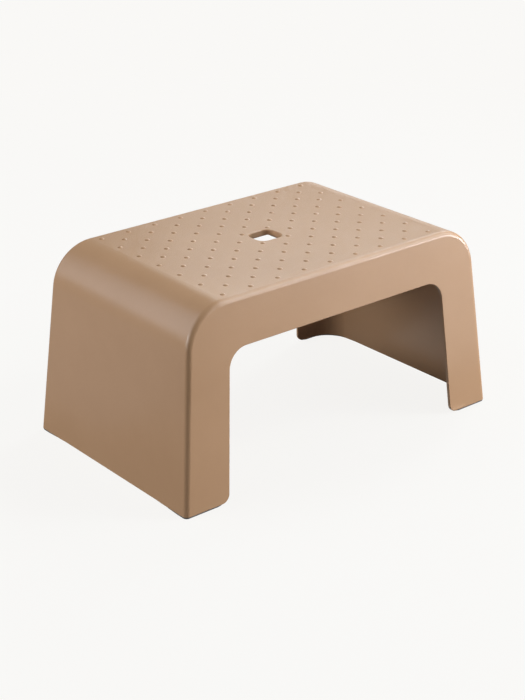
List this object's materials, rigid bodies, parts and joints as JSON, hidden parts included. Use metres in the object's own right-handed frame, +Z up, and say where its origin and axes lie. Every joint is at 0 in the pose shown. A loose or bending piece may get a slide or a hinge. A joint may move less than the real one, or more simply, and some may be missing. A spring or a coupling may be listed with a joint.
{
  "type": "shower stool",
  "caption": "Low bridge-shaped bathroom stool: a studded seat with a grip hole bends into two splayed end walls, on rubber corner feet.",
  "frame": {"origin": "on the floor, under the centre of the seat", "axes": "+X along the seat towards the right end wall, +Y to the rear face, +Z up out of the seat"},
  "size_m": [0.3996, 0.2496, 0.201],
  "materials": {
    "shell": "fine satin grain",
    "foot": "matte"
  },
  "bodies": {
    "root": {"shell": "shell", "foot_front_left": "foot", "foot_front_right": "foot", "foot_rear_left": "foot", "foot_rear_right": "foot"}
  },
  "joints": []
}
